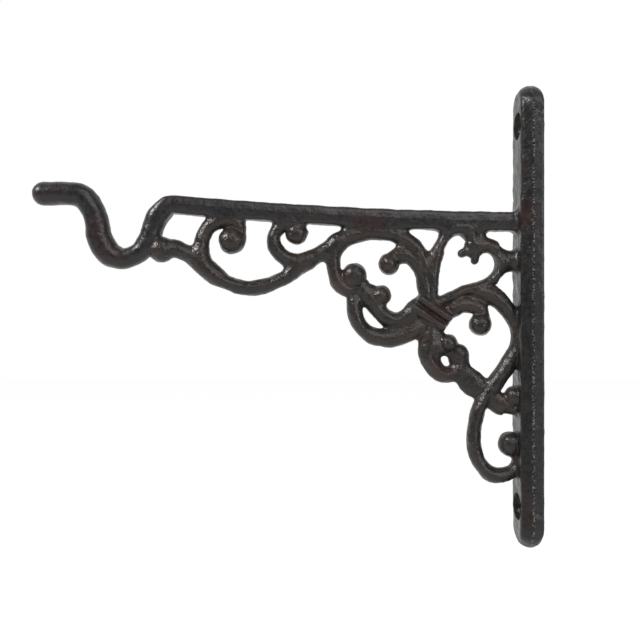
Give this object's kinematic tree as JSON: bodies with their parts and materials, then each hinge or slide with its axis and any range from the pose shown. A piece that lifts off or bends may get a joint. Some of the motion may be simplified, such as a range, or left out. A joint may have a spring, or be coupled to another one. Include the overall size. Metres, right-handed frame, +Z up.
{
  "type": "scroll bracket",
  "caption": "Cast-iron wall bracket of open scrollwork under a rising arm that ends in an upturned hook, on a round-ended screw plate.",
  "frame": {"origin": "on the wall face of the plate, midway between its two screw holes", "axes": "+X into the wall, so the arm reaches out along -X; +Z up; the scrollwork lies in the plane Y = 0"},
  "size_m": [0.247, 0.024, 0.225],
  "materials": {
    "plate_iron": "rough sand-cast face, dark brown-black wax",
    "arm_iron": "smoother cast face, dark brown-black wax, half gloss",
    "scroll_iron": "sand-cast face with rusty-brown patches under dark wax, half gloss"
  },
  "bodies": {
    "root": {"wall_plate": "plate_iron", "arm_bar": "arm_iron", "hook_rod": "arm_iron", "collar": "scroll_iron", "wave_scroll": "scroll_iron", "arch_scroll": "scroll_iron", "bowl_scroll": "scroll_iron", "crook_scroll": "scroll_iron", "hanging_scroll": "scroll_iron", "knob_scroll": "scroll_iron", "outer_scroll": "scroll_iron", "bud_scroll": "scroll_iron", "heart_left": "scroll_iron", "heart_right": "scroll_iron", "heart_stem": "scroll_iron", "wall_stub": "scroll_iron", "spine_scroll": "scroll_iron", "drop_scroll": "scroll_iron", "rest_scroll": "scroll_iron", "ring_scroll": "scroll_iron", "ring_strut": "scroll_iron"}
  },
  "joints": []
}
